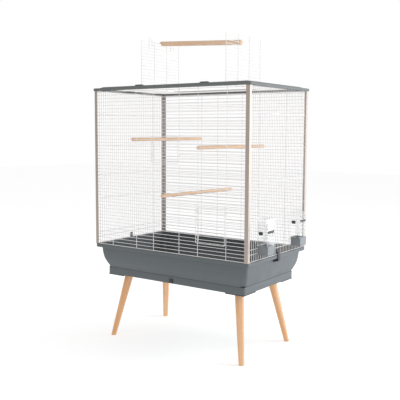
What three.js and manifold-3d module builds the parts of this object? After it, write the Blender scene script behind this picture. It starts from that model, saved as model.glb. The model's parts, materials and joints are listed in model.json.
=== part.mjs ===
// Bird cage on a four-legged stand, in millimetres, +Z up, standing on z = 0.
// A moulded tray sits in a stand frame on four splayed wooden legs. Four corner posts carry
// wire grilles and a moulded roof frame, whose two wire doors stand open around a perch.

import * as THREE from 'three';
import { mergeVertices } from 'three/addons/utils/BufferGeometryUtils.js';
import Module from 'manifold-3d';

const wasm = await Module();
wasm.setup();

// ---------------------------------------------------------------- driving dimensions

const GAP = 0.3;                       // clearance between pieces that touch
const WIRE = 2;                        // wire thickness
const HALF_X = 390;                    // half the tray's length
const HALF_Y = 240;                    // half the tray's depth
const ROOF_OVERHANG = 4;               // roof frame beyond the tray, on every side
const FEEDER_REACH = 44;               // feeders beyond the tray, on +X only
const CAGE_X = (ROOF_OVERHANG - FEEDER_REACH) / 2;   // centres the whole part on x = 0
const CORNER_STEPS = 3;                // facets in a rounded corner

const LEG_TOP = { x: 287.4, y: 131.1, z: 277.4, radius: 18.8 };
const LEG_FOOT = { x: 336, y: 188, z: 0, radius: 11 };
const LEG_SIDES = 16;
const BOLT = { radius: 4, hole: 4.4, depth: 28, sides: 12 };
const SOCKET = { top: 281.7, collar: 5, wall: 4 };

const FRAME = { inset: 38, bottom: 282, top: 312, wall: 3, flange: 30, floor: 285 };
const SEAM_CLIP = { width: 18, bottom: 284, top: 302, thickness: 2.6 };

const RIM = { bottom: 402, top: 416 };
const LATCH = { width: 18, pivotZ: 394, pivotX: 8.5, pin: 1.5, hole: 1.9 };

const POST = { outset: 0.5, leg: 16, wall: 1.8, top: 1087.5 };

const GRILLE = { bottom: RIM.top + 2.5, top: 1074, border: 1082 };   // centres of the lowest, highest and border bars
const FRONT_BARS = 24;                 // horizontal bars, front and back: every second one
const UPRIGHTS = [-290, -157, -66, 66, 157, 290];
const SIDE_BARS = 17;                  // vertical bars, left and right: every second one
const SIDE_CROSSBARS = [446, 465, 616, 718, 845, 980];

const ROOF = { skirt: 1079.5, top: 1097, grilleZ: 1086, inset: 46 };
const SIDE_HALF = { bars: 216, rails: 229.5 };
const ROOF_BARS = 27;
const ROOF_RUNNERS = [-132, -43, 43, 132];
const ROOF_OPENING_BARS = [5, 21];     // the roof bars that edge the doors' opening
const HINGE_Z = 1094.25;
const ROOF_DOOR = { top: 1293.25, pitch: 26.5, rungs: 8 };   // every second cross wire

const PERCH_RADIUS = 7.5;
const ROOF_PERCH_RADIUS = 10.25;
const FEEDER_Y = 135;

// ---------------------------------------------------------------- materials

const paint = (color, roughness, metalness = 0, opacity = 1) => new THREE.MeshStandardMaterial({
  color, roughness, metalness, opacity, transparent: opacity < 1,
});
const beech = paint('#e6b588', 0.55);
const trayPlastic = paint('#656c6e', 0.4);
const roofPlastic = paint('#5e6362', 0.45);
const darkPlastic = paint('#303235', 0.5);
const postMetal = paint('#b3a69c', 0.4, 0.6);
const whiteWire = paint('#e9e9ec', 0.35, 0.3);
const bareSteel = paint('#9a9da0', 0.35, 0.9);
const cupPlastic = paint('#8b8f92', 0.5);
const clearPlastic = paint('#e8eef2', 0.08, 0, 0.35);

// ---------------------------------------------------------------- geometry helpers

function box(x, y, z) {
  const size = [x, y, z].map(([low, high]) => high - low);
  const middle = [x, y, z].map(([low, high]) => (low + high) / 2);
  return new THREE.BoxGeometry(...size).translate(...middle);
}

// A rod along an axis between two coordinates, centred on the other two.
function rodAlongY(radius, x, y, z, sides) {
  const rod = new THREE.CylinderGeometry(radius, radius, y[1] - y[0], sides);
  return rod.translate(x, (y[0] + y[1]) / 2, z);
}

function toSolid(geometry) {
  const bare = geometry.clone();
  bare.deleteAttribute('normal');
  bare.deleteAttribute('uv');
  const merged = mergeVertices(bare);
  return new wasm.Manifold(new wasm.Mesh({
    numProp: 3,
    vertProperties: new Float32Array(merged.attributes.position.array),
    triVerts: new Uint32Array(merged.index.array),
  }));
}

function toGeometry(solid) {
  const mesh = solid.getMesh();
  const geometry = new THREE.BufferGeometry();
  geometry.setAttribute('position', new THREE.BufferAttribute(mesh.vertProperties, 3));
  geometry.setIndex(new THREE.BufferAttribute(mesh.triVerts, 1));
  geometry.computeVertexNormals();
  return geometry;
}

const join = (...pieces) => toGeometry(pieces.map(toSolid).reduce((sum, piece) => sum.add(piece)));
const cut = (body, ...tools) => toGeometry(
  tools.map(toSolid).reduce((rest, tool) => rest.subtract(tool), toSolid(body)),
);

// The rounded rectangle of one level, counter-clockwise from above.
function roundedRing(halfX, halfY, radius, z) {
  const ring = [];
  for (const [signX, signY, start] of [[1, 1, 0], [-1, 1, 90], [-1, -1, 180], [1, -1, 270]]) {
    for (let step = 0; step <= CORNER_STEPS; step += 1) {
      const angle = THREE.MathUtils.degToRad(start + (90 * step) / CORNER_STEPS);
      const x = signX * (halfX - radius) + radius * Math.cos(angle);
      const y = signY * (halfY - radius) + radius * Math.sin(angle);
      ring.push(new THREE.Vector3(x, y, z));
    }
  }
  return ring;
}

// A skin through rings of equal length: closed on itself, or with a flat cap at each end.
function loft(rings, isLoop) {
  const count = rings[0].length;
  const last = (rings.length - 1) * count;
  const faces = [];
  for (let ring = 0; ring < rings.length - (isLoop ? 0 : 1); ring += 1) {
    const low = ring * count;
    const high = ((ring + 1) % rings.length) * count;
    for (let point = 0; point < count; point += 1) {
      const next = (point + 1) % count;
      faces.push(low + point, low + next, high + next);
      faces.push(low + point, high + next, high + point);
    }
  }
  for (let point = 1; point < count - 1 && !isLoop; point += 1) {
    faces.push(0, point + 1, point);
    faces.push(last, last + point, last + point + 1);
  }
  const geometry = new THREE.BufferGeometry().setFromPoints(rings.flat());
  geometry.setIndex(faces);
  geometry.computeVertexNormals();
  return geometry;
}

// Rings from a profile of [inset from the outer rectangle, height] points.
function profileRings(profile, halfX, halfY, cornerRadius) {
  return profile.map(([inset, z]) => roundedRing(halfX - inset, halfY - inset, cornerRadius(inset), z));
}

const evenly = (low, high, count) => Array.from(
  { length: count }, (_, index) => low + ((high - low) * index) / (count - 1),
);

// One flat layer of welded wire: its outline and the windows between its wires. Rails run along
// v at each u, rungs along u at each v. An opening spans two rungs and has its own side wires.
function lattice(rails, rungs, openings = []) {
  const half = WIRE / 2;
  const outline = { u: [rails[0] - half, rails.at(-1) + half], v: [rungs[0] - half, rungs.at(-1) + half] };
  const windows = openings.map(({ u, v }) => ({ u, v: [v[0] + half, v[1] - half] }));
  for (let row = 0; row + 1 < rungs.length; row += 1) {
    const v = [rungs[row] + half, rungs[row + 1] - half];
    for (let column = 0; column + 1 < rails.length; column += 1) {
      let start = rails[column] + half;
      const end = rails[column + 1] - half;
      for (const opening of openings) {
        const isCrossed = v[0] > opening.v[0] && v[1] < opening.v[1];
        if (isCrossed && start < opening.u[0] && opening.u[1] < end) {
          windows.push({ u: [start, opening.u[0] - WIRE], v });
          start = opening.u[1] + WIRE;
        }
      }
      windows.push({ u: [start, end], v });
    }
  }
  return { outline, windows };
}

const AXES = { x: new THREE.Vector3(1, 0, 0), y: new THREE.Vector3(0, 1, 0), z: new THREE.Vector3(0, 0, 1) };

// Extrudes a shape drawn on axes u and v along the third axis, between two coordinates.
function slab(shape, uAxis, vAxis, span) {
  const normal = new THREE.Vector3().crossVectors(AXES[uAxis], AXES[vAxis]);
  const start = normal.x + normal.y + normal.z > 0 ? span[0] : span[1];
  const geometry = new THREE.ExtrudeGeometry(shape, { depth: span[1] - span[0], bevelEnabled: false });
  geometry.applyMatrix4(new THREE.Matrix4().makeBasis(AXES[uAxis], AXES[vAxis], normal));
  const thirdAxis = 'xyz'.replace(uAxis, '').replace(vAxis, '');
  const offset = AXES[thirdAxis].clone().multiplyScalar(start);
  return geometry.translate(offset.x, offset.y, offset.z);
}

// Cuts a lattice's windows out of a sheet between two coordinates of the third axis.
function welded({ outline, windows }, uAxis, vAxis, span) {
  const thirdAxis = 'xyz'.replace(uAxis, '').replace(vAxis, '');
  const block = ({ u, v }, depth) => {
    const range = { [uAxis]: u, [vAxis]: v, [thirdAxis]: depth };
    return box(range.x, range.y, range.z);
  };
  return cut(block(outline, span), ...windows.map((window) => block(window, [span[0] - 1, span[1] + 1])));
}

function polygon(points) {
  return new THREE.Shape(points.map(([u, v]) => new THREE.Vector2(u, v)));
}

const cage = new THREE.Group();
cage.position.x = CAGE_X;

function add(name, geometry, material) {
  const mesh = new THREE.Mesh(geometry, material);
  mesh.name = name;
  cage.add(mesh);
}

const CORNERS = [
  ['front_left', -1, -1], ['front_right', 1, -1], ['back_left', -1, 1], ['back_right', 1, 1],
];

// ---------------------------------------------------------------- stand

// Leans an upright turned piece so that its axis runs from the leg's foot to the leg's top.
function leanOut(geometry, signX, signY) {
  const height = LEG_TOP.z - LEG_FOOT.z;
  const slopeX = (signX * (LEG_TOP.x - LEG_FOOT.x)) / height;
  const slopeY = (signY * (LEG_TOP.y - LEG_FOOT.y)) / height;
  const lean = new THREE.Matrix4().makeShear(0, 0, 0, 0, slopeX, slopeY);
  return geometry.applyMatrix4(lean).translate(signX * LEG_FOOT.x, signY * LEG_FOOT.y, 0);
}

function turned(points, sides) {
  const profile = points.map(([radius, z]) => new THREE.Vector2(radius, z));
  return new THREE.LatheGeometry(profile, sides).rotateX(Math.PI / 2);
}

function leg(signX, signY) {
  const holeBottom = LEG_TOP.z - BOLT.depth;
  const profile = [
    [0, 0], [LEG_FOOT.radius - 1, 0], [LEG_FOOT.radius, 1.5], [LEG_TOP.radius, LEG_TOP.z - 1],
    [LEG_TOP.radius - 1, LEG_TOP.z], [BOLT.hole, LEG_TOP.z], [BOLT.hole, holeBottom], [0, holeBottom],
  ];
  return leanOut(turned(profile, LEG_SIDES), signX, signY);
}

function legBolt(signX, signY) {
  const bottom = LEG_TOP.z - BOLT.depth + GAP;
  const top = SOCKET.top - GAP;
  const profile = [[0, bottom], [BOLT.radius, bottom + 3], [BOLT.radius, top], [0, top]];
  return leanOut(turned(profile, BOLT.sides), signX, signY);
}

// Corner plate under the stand frame with a round collar that the leg's top sits in.
function legSocket(signX, signY) {
  const corner = { x: HALF_X - FRAME.inset - 2, y: HALF_Y - FRAME.inset - 2 };
  const plateBottom = LEG_TOP.z + GAP;
  const reach = LEG_TOP.radius + SOCKET.wall;
  const plate = slab(polygon([
    [signX * corner.x, signY * corner.y],
    [signX * corner.x, signY * (LEG_TOP.y - reach)],
    [signX * (LEG_TOP.x - reach / 2), signY * (LEG_TOP.y - reach)],
    [signX * (LEG_TOP.x - reach), signY * (LEG_TOP.y - reach / 2)],
    [signX * (LEG_TOP.x - reach), signY * corner.y],
  ]), 'x', 'y', [plateBottom, SOCKET.top]);
  const collarBottom = LEG_TOP.z - SOCKET.collar;
  const inner = LEG_TOP.radius + GAP;
  const collar = leanOut(turned([
    [inner, collarBottom], [reach, collarBottom], [reach, plateBottom + 1], [inner, plateBottom + 1],
    [inner, collarBottom],
  ], LEG_SIDES), signX, signY);
  const hole = leanOut(turned([
    [0, plateBottom - 5], [BOLT.hole, plateBottom - 5], [BOLT.hole, SOCKET.top + 5], [0, SOCKET.top + 5],
  ], BOLT.sides), signX, signY);
  return cut(join(plate, collar), hole);
}

for (const [place, signX, signY] of CORNERS) {
  add(`leg_${place}`, leg(signX, signY), beech);
  add(`leg_bolt_${place}`, legBolt(signX, signY), bareSteel);
  add(`leg_socket_${place}`, legSocket(signX, signY), darkPlastic);
}

// Angle-section ring: an upright wall around the tray's foot and a flange under its floor.
const standRing = loft(profileRings([
  [0, FRAME.bottom], [0, FRAME.top], [FRAME.wall, FRAME.top], [FRAME.wall, FRAME.floor],
  [FRAME.flange, FRAME.floor], [FRAME.flange, FRAME.bottom],
], HALF_X - FRAME.inset, HALF_Y - FRAME.inset, (inset) => Math.max(12 - inset, 2)), true);
for (const [side, sign] of [['left', -1], ['right', 1]]) {
  const otherHalf = [-sign * HALF_X, sign * (GAP / 2)].sort((a, b) => a - b);
  add(`stand_frame_${side}`, cut(standRing, box(otherHalf, [-HALF_Y, HALF_Y], [200, 400])), trayPlastic);
}
for (const [side, sign] of [['front', -1], ['back', 1]]) {
  const near = sign * (HALF_Y - FRAME.inset + GAP);
  const far = near + sign * SEAM_CLIP.thickness;
  const depth = [near, far].sort((a, b) => a - b);
  const halfWidth = SEAM_CLIP.width / 2;
  add(`seam_clip_${side}`, box([-halfWidth, halfWidth], depth, [SEAM_CLIP.bottom, SEAM_CLIP.top]), darkPlastic);
}

// ---------------------------------------------------------------- tray and its latches

// From under the floor up the bowed outside, over the lip, and down the inside to the floor.
const trayProfile = [
  [46, FRAME.floor + GAP], [42, 288], [41.4, FRAME.top + GAP], [38.4, FRAME.top + 2 * GAP], [33.6, 322],
  [29.6, 331], [24.6, 343], [20.6, 357], [17.2, 378], [15.6, RIM.bottom], [1.2, RIM.bottom],
  [0, RIM.bottom + 1.2], [0, RIM.top - 1.2], [1.2, RIM.top], [16.6, RIM.top], [18.2, RIM.top - 1.6],
  [18.2, RIM.bottom], [19.8, 378], [23.2, 357], [27.2, 343], [32.2, 331], [41, 313], [44.2, 300],
  [45, 292], [49, 288.3],
];
add('tray', loft(profileRings(trayProfile, HALF_X, HALF_Y, (inset) => 10 + inset * 0.35), false), trayPlastic);

const mirrorU = (points, sign) => points.map(([u, v]) => [sign * u, v]);

// Clip whose nose holds the grille's bottom wire down; its lower arm turns on a pin.
function trayLatch(sign) {
  const pivotX = HALF_X - LATCH.pivotX;
  const outline = polygon(mirrorU([
    [pivotX - 3, LATCH.pivotZ - 3], [HALF_X + 1.5, LATCH.pivotZ - 4], [HALF_X + 3.5, LATCH.pivotZ - 1],
    [HALF_X + 3.5, 428], [HALF_X + 2.2, 437], [HALF_X + 0.4, 438], [HALF_X + 1, 428],
    [HALF_X - 4, 426], [HALF_X - 4, 422.6], [HALF_X + 1, 421.6], [HALF_X + 1, LATCH.pivotZ + 2.6],
    [pivotX - 3, LATCH.pivotZ + 3],
  ], sign));
  const eye = new THREE.Path();
  eye.absarc(sign * pivotX, LATCH.pivotZ, LATCH.hole, 0, 2 * Math.PI);
  outline.holes.push(eye);
  return slab(outline, 'x', 'z', [-LATCH.width / 2, LATCH.width / 2]);
}

function latchBracket(sign) {
  const pivotX = HALF_X - LATCH.pivotX;
  const ordered = (a, b) => [sign * a, sign * b].sort((low, high) => low - high);
  const cheek = LATCH.width / 2 + 0.6;
  const plate = box(ordered(HALF_X - 15.2, HALF_X - 13), [-cheek - 3, cheek + 3], [387, 400]);
  const cheeks = [-1, 1].map((end) => box(
    ordered(HALF_X - 14, HALF_X - 5), [end * cheek, end * (cheek + 3)].sort((a, b) => a - b), [389, 399],
  ));
  const pin = rodAlongY(LATCH.pin, sign * pivotX, [-cheek - 2, cheek + 2], LATCH.pivotZ, 12);
  return join(plate, ...cheeks, pin);
}

for (const [side, sign] of [['left', -1], ['right', 1]]) {
  add(`tray_latch_${side}`, trayLatch(sign), darkPlastic);
  add(`latch_bracket_${side}`, latchBracket(sign), darkPlastic);
}

// ---------------------------------------------------------------- corner posts and grilles

for (const [place, signX, signY] of CORNERS) {
  const x = HALF_X - POST.outset;
  const y = HALF_Y - POST.outset;
  const angle = polygon([
    [x, y - 1.4], [x - 1.4, y], [x - POST.leg, y], [x - POST.leg, y - POST.wall], [x - POST.wall, y - POST.wall],
    [x - POST.wall, y - POST.leg], [x, y - POST.leg],
  ].map(([u, v]) => [signX * u, signY * v]));
  add(`corner_post_${place}`, slab(angle, 'x', 'y', [RIM.top + GAP, POST.top]), postMetal);
}

const frontRungs = evenly(GRILLE.bottom, GRILLE.top, FRONT_BARS);
const borderedRungs = [...frontRungs, GRILLE.border];
const sideRungs = [
  -SIDE_HALF.rails, ...evenly(-SIDE_HALF.bars, SIDE_HALF.bars, SIDE_BARS), SIDE_HALF.rails,
];
const layer = {
  frontOuter: HALF_Y - 4.7 + WIRE,     // outer face of the uprights, front and back
  frontInner: HALF_Y - 5,              // outer face of the dense bars, front and back
  sideOuter: HALF_X - 4.7 + WIRE,
  sideInner: HALF_X - 5,
};
const mirrored = (sign, low, high) => (sign > 0 ? [low, high] : [-high, -low]);

// Doorways between two uprights, from one dense bar to another.
const DOORS = {
  lower_right: { uprights: [157, 290], bars: [2, 7], reach: 6 },
  upper_middle: { uprights: [-66, 66], bars: [13, 16], reach: 13.5 },
};
const doorways = ['upper_middle', 'lower_right'].map((name) => {
  const { uprights, bars } = DOORS[name];
  return { u: [uprights[0] + 3, uprights[1] - 3], v: [frontRungs[bars[0]], frontRungs[bars[1]]] };
});

for (const [side, sign, openings] of [['front', -1, doorways], ['back', 1, []]]) {
  const halfWidth = HALF_X - 9;
  const bars = lattice([-halfWidth, halfWidth], borderedRungs, openings);
  const barSpan = mirrored(sign, layer.frontInner - WIRE, layer.frontInner);
  add(`${side}_grille_bars`, welded(bars, 'x', 'z', barSpan), whiteWire);
  const uprights = lattice([GRILLE.bottom, GRILLE.border], [-halfWidth, ...UPRIGHTS, halfWidth]);
  const uprightSpan = mirrored(sign, layer.frontOuter - WIRE, layer.frontOuter);
  add(`${side}_grille_uprights`, welded(uprights, 'z', 'x', uprightSpan), whiteWire);
}

// Two feeding holes behind the feeders.
const feedingHoles = [[3, 5], [13, 15]].map(([low, high]) => (
  { u: [476.5, 529], v: [sideRungs[low], sideRungs[high]] }
));
for (const [side, sign, openings] of [['left', -1, []], ['right', 1, feedingHoles]]) {
  const rails = [GRILLE.bottom, GRILLE.border];
  const barSpan = mirrored(sign, layer.sideInner - WIRE, layer.sideInner);
  add(`${side}_grille_bars`, welded(lattice(rails, sideRungs, openings), 'z', 'y', barSpan), whiteWire);
  const levels = [GRILLE.bottom, ...SIDE_CROSSBARS, GRILLE.border];
  const crossbars = lattice([-SIDE_HALF.rails, SIDE_HALF.rails], levels);
  const crossSpan = mirrored(sign, layer.sideOuter - WIRE, layer.sideOuter);
  add(`${side}_grille_crossbars`, welded(crossbars, 'y', 'z', crossSpan), whiteWire);
}

// ---------------------------------------------------------------- front doors

// A wire panel in front of its doorway. Four hooks lie over the uprights that guide it, and a
// bent wire pull stands off its lower part.
function frontDoor({ uprights, bars, reach }) {
  const outer = -(layer.frontOuter + 0.5);
  const plane = [outer - WIRE, outer];
  const hookPlane = [plane[0] + 0.1, plane[1] - 0.1];
  const u = [uprights[0] - 7.5, uprights[1] - 5.5];
  const v = [frontRungs[bars[0]] - reach / 2, frontRungs[bars[1]] + reach];
  const rungs = evenly(v[0], v[1], Math.round((v[1] - v[0]) / 28) + 1);
  const pieces = [welded(lattice(u, rungs), 'x', 'z', plane)];
  for (const upright of [0, 1]) {
    const far = uprights[upright] + 4.5;
    for (const z of [rungs[1] + 4, rungs.at(-2) + 4]) {
      const height = [z - WIRE / 2, z + WIRE / 2];
      pieces.push(box([u[upright], far], hookPlane, height));
      pieces.push(box([far - WIRE, far], [hookPlane[0], -layer.frontInner - 0.4], height));
    }
  }
  const middle = (u[0] + u[1]) / 2 + 5;
  const pullZ = [rungs[1] - 0.5, rungs[1] + 1.5];
  const pullY = [plane[0] - 4, plane[0] - 2];
  pieces.push(box([middle - 20, middle + 20], pullY, pullZ));
  for (const end of [middle - 20, middle + 18]) {
    pieces.push(box([end, end + WIRE], [pullY[0], plane[1] - 0.4], pullZ));
  }
  return join(...pieces);
}
for (const [name, door] of Object.entries(DOORS)) {
  add(`front_door_${name}`, frontDoor(door), whiteWire);
}

// ---------------------------------------------------------------- roof

// Moulded channel: a thin skirt at the edge, a raised back, and a ledge inside for the wire.
const roofProfile = [
  [0, ROOF.skirt], [0, 1090.5], [17.5, 1091.5], [28, 1096], [31, ROOF.top], [44, ROOF.top],
  [ROOF.inset, ROOF.top - 2], [ROOF.inset, ROOF.grilleZ - GAP], [ROOF.inset + 4, ROOF.grilleZ - GAP],
  [ROOF.inset + 4, 1083.2], [43.4, 1083.2], [43.4, 1094.4], [31.5, 1094.4], [18.5, 1088.9], [2.4, 1088.1],
  [2.4, ROOF.skirt],
];
const roofHalf = [HALF_X + ROOF_OVERHANG, HALF_Y + ROOF_OVERHANG];
const roofRings = profileRings(roofProfile, ...roofHalf, (inset) => Math.max(8 - inset * 0.14, 1.4));
add('roof_frame', loft(roofRings, true), roofPlastic);

for (const [side, x] of [['left', -165], ['right', 165]]) {
  const y = -HALF_Y + 34;
  const top = ROOF.top + GAP;
  const clip = polygon([[x - 22, top], [x + 22, top], [x + 16, top + 4], [x - 16, top + 4]]);
  add(`roof_clip_${side}`, slab(clip, 'x', 'z', [y - 5, y + 5]), roofPlastic);
}

const grilleHalf = roofHalf.map((half) => half - ROOF.inset - 1.875);   // centres of the edge wires
const roofRungs = evenly(-grilleHalf[0], grilleHalf[0], ROOF_BARS);
const openingX = ROOF_OPENING_BARS.map((index) => roofRungs[index]);
const lowerWires = [ROOF.grilleZ, ROOF.grilleZ + WIRE];
const upperWires = [ROOF.grilleZ + WIRE + GAP, ROOF.grilleZ + 2 * WIRE + GAP];
// The roof's wires in four flat pieces round the doors' opening: bars below, welded to runners
// above. Where the two overlap, small offsets keep their faces apart.
const WELD = 0.2;
const [openingLeft, openingRight] = ROOF_OPENING_BARS;
for (const [place, rungs] of [
  ['left', roofRungs.slice(0, openingLeft + 1)], ['right', roofRungs.slice(openingRight)],
]) {
  const bars = welded(lattice([-grilleHalf[1], grilleHalf[1]], rungs), 'y', 'x', lowerWires);
  const reach = ROOF_RUNNERS[3] - WIRE / 2 - GAP;
  const inner = ROOF_RUNNERS[2];
  const runners = {
    outline: { u: [rungs[0] - WIRE / 2 + WELD, rungs.at(-1) + WIRE / 2 - WELD], v: [-reach, reach] },
    windows: [[-reach - 1, -inner - 1], [1 - inner, inner - 1], [inner + 1, reach + 1]].map((v) => (
      { u: [rungs[0] + WIRE / 2 + WELD, rungs.at(-1) - WIRE / 2 - WELD], v }
    )),
  };
  const runnerSpan = [lowerWires[1] - WELD, upperWires[1]];
  add(`roof_grille_${place}`, join(bars, welded(runners, 'x', 'y', runnerSpan)), whiteWire);
}
for (const [place, low, high] of [
  ['front', -grilleHalf[1], ROOF_RUNNERS[0]], ['back', ROOF_RUNNERS[3], grilleHalf[1]],
]) {
  const runners = welded(lattice([-grilleHalf[0], grilleHalf[0]], [low, high]), 'x', 'y', upperWires);
  const rungs = roofRungs.slice(openingLeft + 1, openingRight);
  const bars = welded(
    lattice([low + WELD, high - WELD], rungs), 'y', 'x', [lowerWires[0], upperWires[0] + WELD],
  );
  add(`roof_grille_${place}`, join(runners, bars), whiteWire);
}

// A rod on two short feet beside the opening, for the door's eyelets to turn on.
function hingeRod(x) {
  const rod = rodAlongY(WIRE / 2, x, [-140, 140], HINGE_Z, 12);
  const feet = [-139, 139].map((y) => box([x - 0.8, x + 0.8], [y - 0.8, y + 0.8], [upperWires[0], HINGE_Z]));
  return join(rod, ...feet);
}

// A standing wire door: cross wires welded flush to four runners, each with an eyelet at its foot.
function roofDoor(x) {
  const rungs = Array.from(
    { length: ROOF_DOOR.rungs }, (_, index) => ROOF_DOOR.top - index * ROOF_DOOR.pitch,
  ).reverse();
  const pieces = [welded(lattice(ROOF_RUNNERS, rungs), 'y', 'z', [x - WIRE / 2, x + WIRE / 2])];
  for (const y of ROOF_RUNNERS) {
    pieces.push(box([x - 0.9, x + 0.9], [y - 0.9, y + 0.9], [HINGE_Z + 1.9, rungs[0]]));
    const eyelet = new THREE.Shape().absarc(0, 0, 3.4, 0, 2 * Math.PI);
    eyelet.holes.push(new THREE.Path().absarc(0, 0, 1.5, 0, 2 * Math.PI));
    const ring = new THREE.ExtrudeGeometry(eyelet, { depth: 3, bevelEnabled: false, curveSegments: 4 });
    pieces.push(ring.rotateX(Math.PI / 2).translate(x, y + 1.5, HINGE_Z));
  }
  return join(...pieces);
}
for (const [side, x] of [['left', openingX[0]], ['right', openingX[1]]]) {
  add(`roof_hinge_rod_${side}`, hingeRod(x), whiteWire);
  add(`roof_door_${side}`, roofDoor(x), whiteWire);
}

// Bent wire on the left door's free edge: a long leg and a short one over the top wire.
for (const [side, y] of [['front', -86], ['back', 64]]) {
  const x = openingX[0] + WIRE / 2 + GAP;
  const span = [x, x + WIRE];
  const long = box(span, [y, y + WIRE], [1264, 1314]);
  const short = box(span, [y + 20, y + 20 + WIRE], [1274, 1303]);
  const bridge = box(span, [y, y + 20 + WIRE], [1301, 1303]);
  add(`roof_catch_${side}`, join(long, bridge, short), whiteWire);
}

// ---------------------------------------------------------------- perches

function dowel(start, end, radius, sides) {
  const from = new THREE.Vector3(...start);
  const along = new THREE.Vector3(...end).sub(from);
  const rod = new THREE.CylinderGeometry(radius, radius, along.length(), sides);
  rod.applyQuaternion(new THREE.Quaternion().setFromUnitVectors(AXES.y, along.clone().normalize()));
  const middle = from.addScaledVector(along, 0.5);
  return rod.translate(middle.x, middle.y, middle.z);
}

// Each inner perch straddles one bar of the front grille and one of the back grille.
const PERCHES = [
  { name: 'perch_left', frontX: -181, backX: -157, bar: 16 },
  { name: 'perch_right', frontX: 154, backX: 179, bar: 15 },
  { name: 'perch_low', frontX: -25, backX: 10, bar: 8 },
];
for (const { name, frontX, backX, bar } of PERCHES) {
  const z = frontRungs[bar];
  const endY = layer.frontInner - 0.6;
  const rod = dowel([frontX, -endY, z], [backX, endY, z], PERCH_RADIUS, 16);
  const slots = [-1, 1].map((sign) => box(
    [-250, 250], mirrored(sign, layer.frontInner - WIRE - 1.5, HALF_Y), [z - 1.5, z + 1.5],
  ));
  add(name, cut(rod, ...slots), beech);
}

// The roof perch rests on the left door's top wire and is slotted over a wire of the right door.
const perchHold = { left: ROOF_DOOR.top, right: ROOF_DOOR.top - ROOF_DOOR.pitch };
const roofPerch = dowel(
  [openingX[0] - 4, 6, perchHold.left + 0.2], [openingX[1] + 4, -20, perchHold.right - 0.2],
  ROOF_PERCH_RADIUS, 20,
);
const restNotch = box([openingX[0] - 12, openingX[0] + 2], [-30, 30], [1270, perchHold.left + 1.4]);
const wireSlot = box([openingX[1] - 2, openingX[1] + 12], [-60, 30], [perchHold.right - 1.7, perchHold.right + 1.7]);
add('roof_perch', cut(roofPerch, restNotch, wireSlot), beech);

// ---------------------------------------------------------------- feeders

const feeder = {
  back: HALF_X - 1.8, front: HALF_X + FEEDER_REACH - 2.3, outer: HALF_X + FEEDER_REACH,
  cupHalf: 27, wall: 1.6, bottom: 440, rim: 475, hoodTop: 581, hoodFrontTop: 556,
};

// Open box with a flange along each side, which rides on the hood's lips.
function feederCup(y) {
  const { back, front, cupHalf, wall, bottom, rim } = feeder;
  const body = box([back, front], [y - cupHalf, y + cupHalf], [bottom, rim]);
  const flanges = box([back, front], [y - cupHalf - 2, y + cupHalf + 2], [rim - 3, rim]);
  const inside = box(
    [back + wall, front - wall], [y - cupHalf + wall, y + cupHalf - wall], [bottom + wall, rim + 5],
  );
  return cut(join(body, flanges), inside);
}

// Clear cover, open to the cage and below, with a lip along the foot of each side wall.
function feederHood(y) {
  const { back, front, cupHalf, wall, rim, hoodTop, hoodFrontTop } = feeder;
  const half = cupHalf + 2.4 + wall;
  const foot = rim + GAP;
  const lipTop = rim - 3.4;
  const outside = slab(
    polygon([[back, lipTop - 2], [front, lipTop - 2], [front, hoodFrontTop], [front - 8, hoodTop], [back, hoodTop]]),
    'x', 'z', [y - half, y + half],
  );
  const inside = slab(
    polygon([
      [back - 5, lipTop], [front - wall, lipTop], [front - wall, hoodFrontTop],
      [front - 8 - wall / 2, hoodTop - wall], [back - 5, hoodTop - wall],
    ]),
    'x', 'z', [y - half + wall, y + half - wall],
  );
  const underside = box([back - 5, front + 5], [y - cupHalf - 0.4, y + cupHalf + 0.4], [lipTop - 5, lipTop + 0.1]);
  const frontGap = box([front - 2 * wall, front + 5], [y - half - 1, y + half + 1], [lipTop - 5, foot]);
  return cut(outside, inside, underside, frontGap);
}

for (const [place, sign, raised] of [['front', -1, 0], ['back', 1, 15]]) {
  const y = sign * FEEDER_Y;
  const { back, front, outer, cupHalf, wall } = feeder;
  add(`feeder_cup_${place}`, feederCup(y), cupPlastic);
  add(`feeder_hood_${place}`, feederHood(y), clearPlastic);
  add(`feeder_handle_${place}`, box([front + GAP, outer], [y - 30, y + 14], [525 + raised, 534 + raised]), darkPlastic);
  const side = y - cupHalf - 2.4 - wall - GAP;
  add(`feeder_catch_${place}`, box([back + 8, back + 23], [side - 6, side], [518 + raised, 530 + raised]), darkPlastic);
}

const birdCage = new THREE.Group();
birdCage.add(cage);

export default birdCage;
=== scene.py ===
"""Bird cage on a four-legged stand: its wires, mouldings, wood and fittings."""

import json
import math

import bpy
from bpy.props import FloatProperty, FloatVectorProperty, IntProperty, PointerProperty
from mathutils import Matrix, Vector


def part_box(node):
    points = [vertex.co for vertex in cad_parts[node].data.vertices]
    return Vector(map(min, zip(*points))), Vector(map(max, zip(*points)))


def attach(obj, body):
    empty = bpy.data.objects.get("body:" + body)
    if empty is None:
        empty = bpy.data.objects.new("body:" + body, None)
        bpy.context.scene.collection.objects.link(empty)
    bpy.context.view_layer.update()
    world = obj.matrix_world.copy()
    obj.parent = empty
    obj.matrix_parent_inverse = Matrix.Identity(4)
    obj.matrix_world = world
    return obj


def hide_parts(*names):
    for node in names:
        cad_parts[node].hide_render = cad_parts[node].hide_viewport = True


bl_info = {
    "name": "Bird cage on stand",
    "version": (1, 0, 0),
    "blender": (4, 5, 0),
    "location": "View3D > Sidebar > Bird cage",
    "description": "Makes a wire bird cage with a moulded tray on a wooden-legged stand",
    "category": "Add Mesh",
}

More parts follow.
